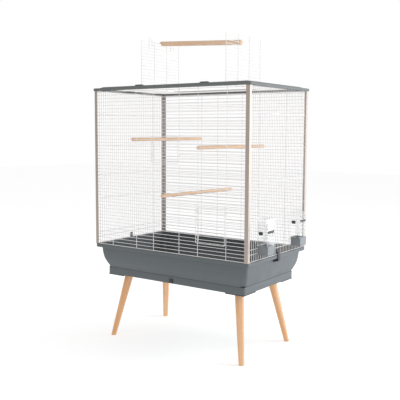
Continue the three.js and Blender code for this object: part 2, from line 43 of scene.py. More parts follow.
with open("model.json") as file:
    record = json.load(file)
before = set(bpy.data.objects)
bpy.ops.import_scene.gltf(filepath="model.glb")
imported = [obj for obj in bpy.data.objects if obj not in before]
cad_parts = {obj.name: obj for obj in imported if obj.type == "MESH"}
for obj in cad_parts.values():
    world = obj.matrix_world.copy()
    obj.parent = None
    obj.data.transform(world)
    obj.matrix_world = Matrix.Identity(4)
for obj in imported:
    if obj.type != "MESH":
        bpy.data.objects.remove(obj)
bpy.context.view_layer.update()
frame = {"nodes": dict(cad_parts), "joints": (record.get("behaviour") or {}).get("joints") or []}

MM = 0.001
TRAY_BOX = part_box("tray")
CAGE_X = (TRAY_BOX[0].x + TRAY_BOX[1].x) / 2 / MM  # the cage's centre, in mm
HALF_X = (TRAY_BOX[1].x - TRAY_BOX[0].x) / 2 / MM
HALF_Y = TRAY_BOX[1].y / MM
LEFT, RIGHT, FRONT, BACK = -1, 1, -1, 1
SIDE_NAMES = {LEFT: "left", RIGHT: "right"}
END_NAMES = {FRONT: "front", BACK: "back"}

# Uprights in front of the long grilles, and the crossbars outside the side ones.
UPRIGHTS = (-290, -157, -66, 66, 157, 290)
CROSSBARS = (446, 465, 616, 718, 845, 980)
LONG_BARS, SIDE_BARS, ROOF_BARS = 47, 35, 53
LONG_PITCH = 14.25
ROOF_RUNNERS = (-132, -43, 43, 132)

# Feeding holes in the right grille: their middles, half widths, and the wires below and above.
FEEDER_Y, HOLE_REACH, HOLE_LEVELS = 135, 28, (475.5, 530)

# Spacing and number of the wires across a roof door, and the eyelets it turns on.
DOOR_PITCH, DOOR_RUNGS, EYELET = 13.25, 15, 2.4

# Leg axis, from the foot to the top, and its radii.
LEG_FOOT, LEG_TOP = Vector((336, 188, 0)), Vector((287.4, 131.1, 277.4))
LEG_FOOT_RADIUS, LEG_TOP_RADIUS = 11, 18.8

# Inner perches: x at the front, x at the back, and the long bar they straddle.
PERCHES = {"perch_left": (-181, -157, 32), "perch_right": (154, 179, 30), "perch_low": (-25, 10, 16)}
PERCH_RADIUS, ROOF_PERCH_RADIUS = 7.5, 10.25
ROOF_PERCH_ENDS = Vector((-217, 6, 1293.45)), Vector((217, -20, 1266.55))

# Where the roof perch is cut to sit on the left door's top wire and hang on the right door's.
ROOF_PERCH_SEED = 5
ROOF_PERCH_NOTCHES = (((-225, -30, 1270), (-211, 30, 1294.65)), ((211, -60, 1265.05), (225, 30, 1268.45)))

# Doorways: the uprights beside them, the long bars below and above, and the door's reach.
DOORWAYS = {
    "lower_right": {"uprights": (157, 290), "bars": (4, 14), "reach": 6, "rungs": 11},
    "upper_middle": {"uprights": (-66, 66), "bars": (26, 32), "reach": 13.5, "rungs": 9},
}


def linear(hex_colour):
    """The linear RGB of an sRGB hex value."""
    parts = [int(hex_colour[place:place + 2], 16) / 255 for place in (1, 3, 5)]
    return tuple(part / 12.92 if part <= 0.04045 else ((part + 0.055) / 1.055) ** 2.4 for part in parts)


def box_mm(node):
    """A CAD node's lowest and highest corner in mm, about the cage's centre."""
    low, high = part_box(node)
    shift = Vector((CAGE_X, 0, 0))
    return low / MM - shift, high / MM - shift


def evenly(low, high, count):
    return [low + (high - low) * index / (count - 1) for index in range(count)]


# ---------------------------------------------------------------- settings

def colour_property(name, description, hex_colour):
    return FloatVectorProperty(
        name=name, description=description, default=linear(hex_colour), subtype="COLOR", min=0, max=1,
    )


class CageSizes(bpy.types.PropertyGroup):
    wire: FloatProperty(
        name="Wire", description="Diameter of every wire, in millimetres", default=2.0, min=1.0, max=2.6,
    )
    wire_sides: IntProperty(name="Wire sides", description="Facets round a wire", default=10, min=6, max=32)
    corner_steps: IntProperty(
        name="Corner steps", description="Facets in a moulding's rounded corner", default=12, min=3, max=48,
    )
    bead: FloatProperty(
        name="Weld", description="Width of the flow of coating at a weld, as a share of the wire",
        default=1.45, min=1.1, max=2.0,
    )
    edge: FloatProperty(
        name="Edge rounding", description="Radius on the edges of small mouldings", default=0.0006,
        min=0.0001, max=0.002, unit="LENGTH",
    )


class CageColours(bpy.types.PropertyGroup):
    tray: colour_property("Tray", "Moulded tray and stand frame", "#545b5e")
    roof: colour_property("Roof frame", "Moulded roof frame", "#626665")
    posts: colour_property("Posts", "Anodised corner posts", "#aca199")
    wire: colour_property("Wire", "Powder coat on the wires", "#ece8e7")
    beech_light: colour_property("Beech, light", "Early wood of the legs", "#efc39a")
    beech_dark: colour_property("Beech, dark", "Late wood of the legs", "#dfa673")
    perch_light: colour_property("Perch, light", "Early wood of the perches", "#ebcdb3")
    perch_dark: colour_property("Perch, dark", "Late wood of the perches", "#dab491")
    cups: colour_property("Feeder cups", "Moulded feeder cups", "#7d8286")
    hoods: colour_property("Feeder hoods", "Clear feeder hoods", "#f6f8fa")
    fittings: colour_property("Fittings", "Dark clips, latches and sockets", "#2c2e31")
    floor: colour_property("Floor", "Studio floor", "#eeeeee")


class CageStudio(bpy.types.PropertyGroup):
    camera_place: FloatVectorProperty(
        name="Camera", description="Where the camera stands", default=(1.6227, -2.3291, 0.9063),
        subtype="TRANSLATION", unit="LENGTH",
    )
    camera_turn: FloatVectorProperty(
        name="Camera turn", description="Camera angles about X, Y and Z",
        default=tuple(math.radians(angle) for angle in (84.13, -0.3, 35.2)), subtype="EULER", unit="ROTATION",
    )
    lens: FloatProperty(
        name="Lens", description="Focal length, in millimetres", default=59.44, min=20, max=200,
    )
    sky: FloatProperty(
        name="Sky", description="Strength of the light from all round", default=0.62, min=0, max=5,
    )
    floor_glow: FloatProperty(
        name="Floor glow", description="Light that the pale floor gives off itself", default=0.44, min=0, max=2,
    )
    key: FloatProperty(
        name="Key light", description="Power of the large light behind the feeders", default=95.0,
        min=0, max=2000, unit="POWER",
    )
    fill: FloatProperty(
        name="Fill light", description="Power of the light above the front", default=12.0,
        min=0, max=2000, unit="POWER",
    )


# ---------------------------------------------------------------- shapes

class Shape:
    """Points in mm about the cage's centre, and the faces between them."""

    def __init__(self):
        self.points = []
        self.faces = []

    def add(self, points, faces):
        first = len(self.points)
        self.points.extend(Vector(point) for point in points)
        self.faces.extend(tuple(first + index for index in face) for face in faces)

    def rings(self, rings, is_loop=False, is_closed=True, caps=True):
        """A skin through rings of equal length, closed on itself or capped at both ends."""
        count = len(rings[0])
        faces = []
        for low in range(len(rings) - (0 if is_loop else 1)):
            high = (low + 1) % len(rings)
            for point in range(count if is_closed else count - 1):
                after = (point + 1) % count
                here, there = low * count, high * count
                faces.append((here + point, here + after, there + after, there + point))
        if caps and not is_loop:
            last = (len(rings) - 1) * count
            faces.append(tuple(reversed(range(count))))
            faces.append(tuple(range(last, last + count)))
        self.add([point for ring in rings for point in ring], faces)

    def piece(self, name, material, body, slot, replaced, smooth_below=40):
        """Makes the object with its material, hangs it on its body and hides the CAD parts it stands for. The
        slot is not used.
        """
        mesh = bpy.data.meshes.new(name)
        offset = Vector((CAGE_X, 0, 0))
        mesh.from_pydata([(point + offset) * MM for point in self.points], [], self.faces)
        mesh.validate()
        piece = bpy.data.objects.new(name, mesh)
        bpy.context.scene.collection.objects.link(piece)
        mesh.materials.append(material)
        mesh.shade_smooth()
        mesh.set_sharp_from_angle(angle=math.radians(smooth_below))
        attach(piece, body)
        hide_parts(*replaced)
        return piece


def filleted(corners, steps=4, is_loop=False):
    """A 2-D or 3-D path with each [point, radius] corner rounded to its radius."""
    path = []
    count = len(corners)
    for index, (corner, radius) in enumerate(corners):
        corner = Vector(corner)
        is_end = not is_loop and index in (0, count - 1)
        if is_end or radius <= 0:
            path.append(corner)
            continue
        before = Vector(corners[index - 1][0]) - corner
        after = Vector(corners[(index + 1) % count][0]) - corner
        half_angle = before.angle(after) / 2
        if half_angle > math.pi / 2 - 0.01:
            path.append(corner)
            continue
        reach = min(radius / math.tan(half_angle), 0.48 * before.length, 0.48 * after.length)
        start = corner + before.normalized() * reach
        end = corner + after.normalized() * reach
        for step in range(steps + 1):
            along = step / steps
            path.append(start * (1 - along) ** 2 + corner * 2 * along * (1 - along) + end * along ** 2)
    return path


def wire_along(shape, path, radius, sides, is_loop=False):
    """A round wire along a path, with softly cut ends."""
    path = [Vector(point) for point in path]
    count = len(path)
    tangents = []
    for index in range(count):
        before = path[index - 1] if is_loop or index else path[index]
        after = path[(index + 1) % count] if is_loop or index < count - 1 else path[index]
        tangents.append((after - before).normalized())
    normal = tangents[0].orthogonal().normalized()
    rings = []
    for index, (point, tangent) in enumerate(zip(path, tangents)):
        if index:
            normal = tangents[index - 1].rotation_difference(tangent) @ normal
        side = tangent.cross(normal)
        rings.append([
            point + (normal * math.cos(turn) + side * math.sin(turn)) * radius
            for turn in evenly(0, 2 * math.pi, sides + 1)[:-1]
        ])
    if not is_loop:
        blunt = radius * 0.35
        for place, sign in ((0, -1), (-1, 1)):
            centre, tangent = path[place], tangents[place] * sign
            edge = [centre + (point - centre) - tangent * blunt for point in rings[place]]
            face = [centre + (point - centre) * 0.65 for point in rings[place]]
            rings[place] = edge
            rings.insert(0 if sign < 0 else len(rings), face)
    shape.rings(rings, is_loop=is_loop)


def straight(axis, spot, low, high):
    """The two ends of a wire along an axis: spot holds its other two coordinates."""
    ends = []
    for value in (low, high):
        point = list(spot)
        point.insert("xyz".index(axis), value)
        ends.append(Vector(point))
    return ends


def weld(shape, centre, axis, wire, swell):
    """The small flow of coating where two wires cross: flat across the layers' axis."""
    size = Vector((wire * swell / 2,) * 3)
    size["xyz".index(axis)] = wire * 0.62
    centre = Vector(centre)
    levels, around = 4, 8
    rings = []
    for tilt in evenly(-math.pi / 2, math.pi / 2, levels + 1)[1:-1]:
        rings.append([
            centre + Vector((
                math.cos(tilt) * math.cos(turn) * size.x,
                math.cos(tilt) * math.sin(turn) * size.y,
                math.sin(tilt) * size.z,
            ))
            for turn in evenly(0, 2 * math.pi, around + 1)[:-1]
        ])
    points = [point for ring in rings for point in ring]
    faces = []
    for level in range(len(rings) - 1):
        for index in range(around):
            after = (index + 1) % around
            low, high = level * around, (level + 1) * around
            faces.append((low + index, low + after, high + after, high + index))
    points += [centre - Vector((0, 0, size.z)), centre + Vector((0, 0, size.z))]
    top = (len(rings) - 1) * around
    for index in range(around):
        after = (index + 1) % around
        faces.append((after, index, len(points) - 2))
        faces.append((top + index, top + after, len(points) - 1))
    shape.add(points, faces)


def rounded_corner(centre, radius, start, steps):
    """A quarter turn of points about a 2-D centre, from an angle in degrees."""
    turns = evenly(math.radians(start), math.radians(start + 90), steps + 1)
    return [Vector(centre) + Vector((math.cos(turn), math.sin(turn))) * radius for turn in turns]


def level_ring(half_x, half_y, radius, z, steps):
    """The rounded rectangle at one height, counter-clockwise from above."""
    ring = []
    for sign_x, sign_y, start in ((1, 1, 0), (-1, 1, 90), (-1, -1, 180), (1, -1, 270)):
        centre = (sign_x * (half_x - radius), sign_y * (half_y - radius))
        ring += [Vector((spot.x, spot.y, z)) for spot in rounded_corner(centre, radius, start, steps)]
    return ring


def ring_of_profile(profile, half_x, half_y, corner_radius, steps):
    return [
        level_ring(half_x - inset, half_y - inset, corner_radius(inset), z, steps) for inset, z in profile
    ]


def wire_piece(shape, name, colours, body, replaced):
    return shape.piece(name, powder_coated_steel(colours), body, "white_wire", replaced)


def with_edges(node, material, width):
    """Gives a CAD node its material and softly rounded edges."""
    piece = frame["nodes"][node]
    piece.data.materials.clear()
    piece.data.materials.append(material)
    joined = piece.modifiers.new("Joined faces", "WELD")
    joined.merge_threshold = 0.00001
    edges = piece.modifiers.new("Rounded edges", "BEVEL")
    edges.width = width
    edges.segments = 3
    edges.limit_method = "ANGLE"
    edges.angle_limit = math.radians(38)
    edges.harden_normals = False
    normals = piece.modifiers.new("Even shading", "WEIGHTED_NORMAL")
    normals.keep_sharp = True
    for face in piece.data.polygons:
        face.use_smooth = True


# ---------------------------------------------------------------- materials

def add_node(tree, kind, settings=None, inputs=None):
    """Adds a node with its settings, and gives its inputs values or links."""
    node = tree.nodes.new(kind)
    for name, value in (settings or {}).items():
        setattr(node, name, value)
    for name, value in (inputs or {}).items():
        if isinstance(value, bpy.types.NodeSocket):
            tree.links.new(value, node.inputs[name])
        else:
            node.inputs[name].default_value = value
    return node


def new_material(name):
    """An empty node material with its output, and the shader that feeds it."""
    material = bpy.data.materials.get(name)
    if material:
        return material, None, None
    material = bpy.data.materials.new(name)
    material.use_nodes = True
    tree = material.node_tree
    tree.nodes.clear()
    shader = add_node(tree, "ShaderNodeBsdfPrincipled")
    add_node(tree, "ShaderNodeOutputMaterial", inputs={"Surface": shader.outputs[0]})
    return material, tree, shader


def per_mm(size):
    """Texture scale whose features are this many mm across."""
    return 1 / (size * MM)


MOST_OF_NOISE = (0.3, 0.7)  # the values that nearly all of a noise texture lies between


def textured(name):
    """A new material, with the object coordinates that its textures hang on."""
    material, tree, shader = new_material(name)
    place = add_node(tree, "ShaderNodeTexCoord").outputs["Object"] if tree else None
    return material, tree, shader, place


def noise(tree, vector, size, **settings):
    """Noise whose features are this many mm across."""
    inputs = {"Vector": vector, "Scale": per_mm(size), **settings}
    return add_node(tree, "ShaderNodeTexNoise", inputs=inputs).outputs["Fac"]


def stretched(tree, vector, scale):
    return add_node(tree, "ShaderNodeMapping", inputs={"Vector": vector, "Scale": scale}).outputs["Vector"]


def remapped(tree, value, start, stop):
    """A value taken from one range to another: each is a low and a high end."""
    node = add_node(tree, "ShaderNodeMapRange", inputs={
        "Value": value, "From Min": start[0], "From Max": start[1], "To Min": stop[0], "To Max": stop[1],
    })
    return node.outputs["Result"]


def relief(tree, height, strength, distance):
    return add_node(tree, "ShaderNodeBump", inputs={
        "Strength": strength, "Distance": distance, "Height": height,
    }).outputs["Normal"]


def set_inputs(tree, shader, links, values):
    """Links the shader's textured inputs, and sets its plain ones."""
    for name, socket in links.items():
        tree.links.new(socket, shader.inputs[name])
    for name, value in values.items():
        shader.inputs[name].default_value = value


def tinted(tree, colour, fac, depth):
    """A colour that drifts from a little darker to a little lighter with fac."""
    dark = (*(channel * (1 - depth) for channel in colour), 1)
    light = (*(min(channel * (1 + depth), 1) for channel in colour), 1)
    mix = add_node(tree, "ShaderNodeMix", {"data_type": "RGBA"}, {"Factor": fac, "A": dark, "B": light})
    return mix.outputs["Result"]


def moulded_plastic(name, colour, roughness, grain, drift, bump):
    """Injection-moulded plastic: an even colour with faint flow clouds, and the fine grain of the
    spark-eroded mould, which breaks up the gloss. The real grain is about 0.15 mm and can't show, so
    it is drawn at the size given."""
    material, tree, shader, place = textured(name)
    if not tree:
        return material
    clouds = noise(tree, place, 70, Detail=3.0, Roughness=0.55)
    pits = noise(tree, place, grain, Detail=3.0, Roughness=0.6)
    speckle = add_node(tree, "ShaderNodeMath", {"operation": "MULTIPLY_ADD"}, {0: pits, 1: 0.35, 2: clouds})
    even = add_node(tree, "ShaderNodeMath", {"operation": "SUBTRACT"}, {0: speckle.outputs[0], 1: 0.175})
    set_inputs(tree, shader, {
        "Base Color": tinted(tree, colour, even.outputs[0], drift),
        "Roughness": remapped(tree, clouds, MOST_OF_NOISE, (roughness - 0.05, roughness + 0.06)),
        "Normal": relief(tree, pits, bump, 0.00025),
    }, {"IOR": 1.53})
    return material


def tray_abs(colours):
    # ABS, moulded in a satin tool: cool grey, a soft sheen that follows the bowed wall.
    return moulded_plastic("Moulded grey ABS", colours.tray, 0.40, 1.6, 0.05, 0.18)


def roof_abs(colours):
    # ABS again, from a duller tool and a warmer batch, so the frame looks flatter than the tray.
    return moulded_plastic("Moulded grey ABS, matt", colours.roof, 0.52, 1.4, 0.05, 0.22)


def cup_polypropylene(colours):
    # Polypropylene: softer, slightly waxy gloss and a lighter grey than the tray.
    return moulded_plastic("Moulded polypropylene", colours.cups, 0.42, 1.2, 0.04, 0.12)


def fitting_nylon(colours):
    # Black nylon: a dry surface whose edges catch a thin highlight.
    return moulded_plastic("Black nylon", colours.fittings, 0.46, 1.0, 0.10, 0.2)


def powder_coated_steel(colours):
    # White powder coat on drawn wire: glossy, with the slow ripple of orange peel. The real ripple
    # is 0.5 mm apart, and is drawn at 1.2 mm so that it breaks the highlight.
    material, tree, shader, place = textured("Powder-coated steel")
    if not tree:
        return material
    peel = noise(tree, place, 1.2, Detail=2.0)
    batch = noise(tree, place, 45, Detail=2.0)
    set_inputs(tree, shader, {
        "Base Color": tinted(tree, colours.wire, batch, 0.03),
        "Roughness": remapped(tree, batch, MOST_OF_NOISE, (0.24, 0.36)),
        "Normal": relief(tree, peel, 0.25, 0.0001),
    }, {"IOR": 1.5, "Coat Weight": 0.3, "Coat Roughness": 0.12})
    return material


def anodised_aluminium(colours):
    # Champagne anodised aluminium, brushed along its length before anodising: a soft metal sheen
    # with long fine lines. Real lines are about 0.1 mm apart, and are drawn at 0.6 mm to show.
    material, tree, shader, place = textured("Anodised aluminium")
    if not tree:
        return material
    lines = noise(tree, stretched(tree, place, (1, 1, 0.008)), 0.6, Detail=4.0, Roughness=0.65)
    clouds = noise(tree, place, 60, Detail=2.0)
    set_inputs(tree, shader, {
        "Base Color": tinted(tree, colours.posts, clouds, 0.05),
        "Roughness": remapped(tree, lines, (0.25, 0.75), (0.34, 0.5)),
        "Normal": relief(tree, lines, 0.2, 0.00012),
    }, {"Metallic": 0.75})
    return material


def wood(name, light, dark, roughness, coat):
    """Beech cut along the grain: bands of late wood 5 mm apart that wander a little, short dark ray
    flecks 2.5 mm long, and a fine fibre. The grain attribute holds each point in the billet's own
    axes, so the bands run along the turned piece whichever way it leans."""
    material, tree, shader = new_material(name)
    if not tree:
        return material
    billet = add_node(tree, "ShaderNodeAttribute", {"attribute_name": "grain"}).outputs["Vector"]
    drawn = stretched(tree, billet, (1, 0.35, 0.06))
    wander = noise(tree, drawn, 9, Detail=2.0)
    bands = add_node(tree, "ShaderNodeTexWave", {"bands_direction": "X"}, {
        "Vector": drawn, "Scale": per_mm(5) * 0.05, "Distortion": 3.5, "Detail": 2.0, "Detail Scale": 1.2,
    })
    fibre = noise(tree, stretched(tree, billet, (1, 1, 0.03)), 0.9, Detail=3.0)
    flecks = add_node(tree, "ShaderNodeTexVoronoi", {"feature": "F1"}, {
        "Vector": stretched(tree, billet, (1, 1, 0.22)), "Scale": per_mm(2.6), "Randomness": 1.0,
    })
    fleck = remapped(tree, flecks.outputs["Distance"], (0.10, 0.22), (1.0, 0.0))
    tone = add_node(tree, "ShaderNodeMath", {"operation": "MULTIPLY_ADD", "use_clamp": True}, {
        0: bands.outputs["Fac"], 1: 0.5, 2: wander,
    })
    body = add_node(tree, "ShaderNodeMix", {"data_type": "RGBA"}, {
        "Factor": remapped(tree, tone.outputs[0], (0.35, 1.0), (0.0, 1.0)), "A": (*light, 1), "B": (*dark, 1),
    })
    fibred = add_node(tree, "ShaderNodeVectorMath", {"operation": "SCALE"}, {
        0: body.outputs["Result"], "Scale": remapped(tree, fibre, MOST_OF_NOISE, (0.94, 1.05)),
    })
    fleck_amount = add_node(tree, "ShaderNodeMath", {"operation": "MULTIPLY"}, {0: fleck, 1: 0.4})
    colour = add_node(tree, "ShaderNodeMix", {"data_type": "RGBA"}, {
        "Factor": fleck_amount.outputs[0], "A": fibred.outputs["Vector"],
        "B": (*(channel * 0.45 for channel in dark), 1),
    })
    set_inputs(tree, shader, {
        "Base Color": colour.outputs["Result"],
        "Roughness": remapped(tree, fibre, MOST_OF_NOISE, (roughness - 0.05, roughness + 0.07)),
        "Normal": relief(tree, fibre, 0.12 if coat else 0.3, 0.0002),
    }, {"IOR": 1.5, "Coat Weight": coat, "Coat Roughness": 0.18})
    return material


def lacquered_beech(colours):
    # Clear-lacquered beech: warm and golden under a thin coat that shines.
    return wood("Lacquered beech", colours.beech_light, colours.beech_dark, 0.42, 0.35)


def bare_beech(colours):
    # Sanded, bare beech: paler and pinker, dry, with raised fibre.
    return wood("Bare turned beech", colours.perch_light, colours.perch_dark, 0.62, 0.0)


def clear_polystyrene(colours):
    # Crystal polystyrene: clear and hard, with thin bright edges and a few faint flow waves.
    material, tree, shader, place = textured("Clear polystyrene")
    if not tree:
        return material
    waves = noise(tree, place, 14, Detail=1.0)
    set_inputs(tree, shader, {
        "Base Color": tinted(tree, colours.hoods, waves, 0.02),
        "Roughness": remapped(tree, waves, MOST_OF_NOISE, (0.04, 0.10)),
        "Normal": relief(tree, waves, 0.05, 0.0002),
    }, {"IOR": 1.59, "Transmission Weight": 0.85, "Alpha": 0.18})
    return material


def zinc_plated_steel():
    # Zinc-plated steel: a cool bright metal with a mottled crystal bloom.
    material, tree, shader, place = textured("Zinc-plated steel")
    if not tree:
        return material
    bloom = noise(tree, place, 2.5, Detail=4.0)
    set_inputs(tree, shader, {
        "Base Color": tinted(tree, linear("#b9bcc0"), bloom, 0.1),
        "Roughness": remapped(tree, bloom, MOST_OF_NOISE, (0.25, 0.45)),
    }, {"Metallic": 1.0})
    return material


# ---------------------------------------------------------------- pieces of the stand

def lean(point, sign_x, sign_y):
    """Moves a point of an upright turned leg on to the splayed leg's axis."""
    share = point.z / LEG_TOP.z
    centre = LEG_FOOT.lerp(LEG_TOP, share)
    return Vector((point.x + sign_x * centre.x, point.y + sign_y * centre.y, point.z))


def store_grain(piece, origin, along, seed):
    """Stores each point in the billet's own axes: z along the piece, shifted so that no two match."""
    turn = Vector(along).to_track_quat("Z", "Y").to_matrix().inverted()
    shift = Vector((0.031, 0.017, 0.113)) * (seed + 1)
    attribute = piece.data.attributes.new("grain", "FLOAT_VECTOR", "POINT")
    for index, vertex in enumerate(piece.data.vertices):
        attribute.data[index].vector = turn @ (vertex.co - origin) + shift


def make_legs(sizes, colours):
    beech = lacquered_beech(colours)
    hole_radius, hole_depth = 4.4, 28
    slope = (LEG_TOP_RADIUS - LEG_FOOT_RADIUS) / LEG_TOP.z
    sides = 48
    for seed, (sign_x, sign_y) in enumerate(((LEFT, FRONT), (RIGHT, FRONT), (LEFT, BACK), (RIGHT, BACK))):
        profile = [((9.0, 0.0), 0), ((LEG_FOOT_RADIUS, 0.0), 2.0)]
        profile += [((LEG_FOOT_RADIUS + slope * z, z), 0) for z in range(20, 270, 20)]
        profile += [((LEG_TOP_RADIUS, LEG_TOP.z), 1.5), ((hole_radius, LEG_TOP.z), 0)]
        profile += [((hole_radius, LEG_TOP.z - hole_depth), 0)]
        shape = Shape()
        rings = []
        for radius, z in filleted(profile):
            rings.append([
                lean(Vector((radius * math.cos(turn), radius * math.sin(turn), z)), sign_x, sign_y)
                for turn in evenly(0, 2 * math.pi, sides + 1)[:-1]
            ])
        shape.rings(rings)
        name = f"{END_NAMES[sign_y]}_{SIDE_NAMES[sign_x]}"
        piece = shape.piece(f"turned_leg_{name}", beech, "stand", "leg_beech", [f"leg_{name}"])
        foot = Vector((sign_x * LEG_FOOT.x + CAGE_X, sign_y * LEG_FOOT.y, 0)) * MM
        along = Vector((sign_x * (LEG_TOP.x - LEG_FOOT.x), sign_y * (LEG_TOP.y - LEG_FOOT.y), LEG_TOP.z))
        store_grain(piece, foot, along, seed)
        with_edges(f"leg_socket_{name}", fitting_nylon(colours), sizes.edge)
        with_edges(f"leg_bolt_{name}", zinc_plated_steel(), sizes.edge / 2)


def make_stand_frame(sizes, colours):
    low, high = box_mm("stand_frame_right")
    half_x, half_y, seam = high.x, high.y, low.x
    bottom, top = low.z, high.z
    wall, flange, floor = 3, 30, bottom + 3
    profile = filleted([
        ((0, bottom), 0.8), ((0, top), 0.7), ((wall, top), 0.7), ((wall, floor), 1.2),
        ((flange, floor), 0.6), ((flange, bottom), 0.6),
    ], is_loop=True)
    for side in (LEFT, RIGHT):
        shape = Shape()
        rings = []
        for inset, z in profile:
            radius = max(12 - inset, 2)
            reach_x, reach_y = half_x - inset, half_y - inset
            ring = [Vector((seam, -reach_y, z))]
            for sign_y, start in ((-1, 270), (1, 0)):
                centre = (reach_x - radius, sign_y * (reach_y - radius))
                for spot in rounded_corner(centre, radius, start, sizes.corner_steps):
                    ring.append(Vector((spot.x, spot.y, z)))
            ring.append(Vector((seam, reach_y, z)))
            rings.append([Vector((side * point.x, point.y, point.z)) for point in ring])
        count = len(rings[0])
        shape.rings(rings, is_loop=True, is_closed=False)
        ends = [[index * count + place for index in range(len(rings))] for place in (0, count - 1)]
        shape.faces += [tuple(reversed(ends[0])), tuple(ends[1])]
        name = SIDE_NAMES[side]
        if side < 0:
            shape.faces = [tuple(reversed(face)) for face in shape.faces]
        shape.piece(f"stand_half_{name}", tray_abs(colours), "stand", "tray_plastic", [f"stand_frame_{name}"])
    for end in ("front", "back"):
        with_edges(f"seam_clip_{end}", fitting_nylon(colours), sizes.edge)


# ---------------------------------------------------------------- pieces of the tray

# From under the floor up the bowed outside, over the lip, and down the inside: inset, height, rounding.
TRAY_PROFILE = (
    (46, 285.3, 2), (42, 288, 2), (41.4, 312.3, 0.1), (38.4, 312.6, 0.6), (33.6, 322, 30), (29.6, 331, 30),
    (24.6, 343, 30), (20.6, 357, 30), (17.2, 378, 40), (15.6, 402, 0.5), (0.9, 402, 0.5), (0, 403.2, 1.2),
    (0, 414.8, 1.2), (1.2, 416, 1), (16.6, 416, 1.2), (18.2, 414.4, 1), (18.2, 402, 20), (19.8, 378, 40),
    (23.2, 357, 30), (27.2, 343, 30), (32.2, 331, 30), (41, 313, 30), (44.2, 300, 20), (45, 292, 5),
    (49, 288.3, 4),
)


def make_tray(sizes, colours):
    profile = filleted([((inset, z), rounding) for inset, z, rounding in TRAY_PROFILE])
    rings = ring_of_profile(profile, HALF_X, HALF_Y, lambda inset: 10 + inset * 0.35, sizes.corner_steps)
    shape = Shape()
    shape.rings(rings)
    shape.piece("tray_shell", tray_abs(colours), "cage", "tray_plastic", ["tray"], 50)


def make_tray_latches(sizes, colours):
    nylon = fitting_nylon(colours)
    for side in ("left", "right"):
        with_edges(f"tray_latch_{side}", nylon, sizes.edge / 2)
        with_edges(f"latch_bracket_{side}", nylon, sizes.edge / 2)


def make_posts(sizes, colours):
    for end in ("front", "back"):
        for side in ("left", "right"):
            with_edges(f"corner_post_{end}_{side}", anodised_aluminium(colours), sizes.edge / 2)


def middle(node, axis):
    """The middle of a CAD node's box along an axis, in mm."""
    low, high = box_mm(node)
    place = "xyz".index(axis)
    return (low[place] + high[place]) / 2


def long_bar_heights():
    """Heights of the evenly spaced long bars. The border bar above them is closer."""
    lowest = box_mm("front_grille_bars")[0].z + 1
    return [lowest + LONG_PITCH * index for index in range(LONG_BARS)]


def side_bar_places():
    low, high = box_mm("right_grille_bars")
    return evenly(low.y + 1, high.y - 1, SIDE_BARS)


def make_long_grilles(sizes, colours):
    """Front and back panels: level bars inside, uprights outside, and a weld at each crossing."""
    radius, sides = sizes.wire / 2, sizes.wire_sides
    low, high = box_mm("front_grille_bars")
    heights = [*long_bar_heights(), high.z - 1]
    left, right = low.x + 1, high.x - 1
    for end, name in END_NAMES.items():
        shape = Shape()
        bar_y = middle(f"{name}_grille_bars", "y")
        upright_y = middle(f"{name}_grille_uprights", "y")
        weld_y = (bar_y + upright_y) / 2
        ways = list(DOORWAYS.values()) if end == FRONT else []
        columns = [left, *UPRIGHTS, right]
        for index, z in enumerate(heights):
            spans = [(left - 1, right + 1)]
            for way in ways:
                if way["bars"][0] < index < way["bars"][1]:
                    cut = way["uprights"][0] + 3, way["uprights"][1] - 3
                    spans = [(left - 1, cut[0]), (cut[1], right + 1)]
            for start, stop in spans:
                wire_along(shape, straight("x", (bar_y, z), start, stop), radius, sides)
            for x in columns:
                if any(start <= x <= stop for start, stop in spans):
                    weld(shape, (x, weld_y, z), "y", sizes.wire, sizes.bead)
        for way in ways:
            for x in (way["uprights"][0] + 2, way["uprights"][1] - 2):
                span = [heights[bar] for bar in way["bars"]]
                wire_along(shape, straight("z", (x, bar_y), span[0] - 1, span[1] + 1), radius, sides)
        for x in columns:
            path = [Vector((x, upright_y, heights[0] - 1)), Vector((x, upright_y, heights[-1] + 1))]
            wire_along(shape, path, radius, sides)
        for z in (heights[0], heights[-1]):
            wire_along(shape, straight("x", (upright_y, z), left - 1, right + 1), radius, sides)
        replaced = [f"{name}_grille_bars", f"{name}_grille_uprights"]
        wire_piece(shape, f"{name}_grille_wires", colours, "cage", replaced)


def make_side_grilles(sizes, colours):
    """Side panels: upright bars inside and crossbars outside, with two feeding holes on the right."""
    radius, sides = sizes.wire / 2, sizes.wire_sides
    places = side_bar_places()
    low, high = box_mm("right_grille_crossbars")
    levels = [low.z + 1, *CROSSBARS, high.z - 1]
    for side, name in SIDE_NAMES.items():
        shape = Shape()
        bar_x = middle(f"{name}_grille_bars", "x")
        cross_x = middle(f"{name}_grille_crossbars", "x")
        weld_x = (bar_x + cross_x) / 2
        for y in places:
            is_cut = side == RIGHT and abs(abs(y) - FEEDER_Y) < HOLE_REACH - 1.5
            spans = [(levels[0] - 1, levels[-1] + 1)]
            if is_cut:
                spans = [(levels[0] - 1, HOLE_LEVELS[0] + 1), (HOLE_LEVELS[1] - 1, levels[-1] + 1)]
            for start, stop in spans:
                path = [Vector((bar_x, y, start)), Vector((bar_x, y, stop))]
                wire_along(shape, path, radius, sides)
            for z in levels:
                if any(start <= z <= stop for start, stop in spans):
                    weld(shape, (weld_x, y, z), "x", sizes.wire, sizes.bead)
        if side == RIGHT:
            for centre in (-FEEDER_Y, FEEDER_Y):
                for z in HOLE_LEVELS:
                    edge = straight("y", (bar_x, z), centre - HOLE_REACH, centre + HOLE_REACH)
                    wire_along(shape, edge, radius, sides)
        for z in levels:
            wire_along(shape, straight("y", (cross_x, z), places[0] - 1, places[-1] + 1), radius, sides)
        for y in (places[0], places[-1]):
            path = [Vector((cross_x, y, levels[0] - 1)), Vector((cross_x, y, levels[-1] + 1))]
            wire_along(shape, path, radius, sides)
        replaced = [f"{name}_grille_bars", f"{name}_grille_crossbars"]
        wire_piece(shape, f"{name}_grille_wires", colours, "cage", replaced)


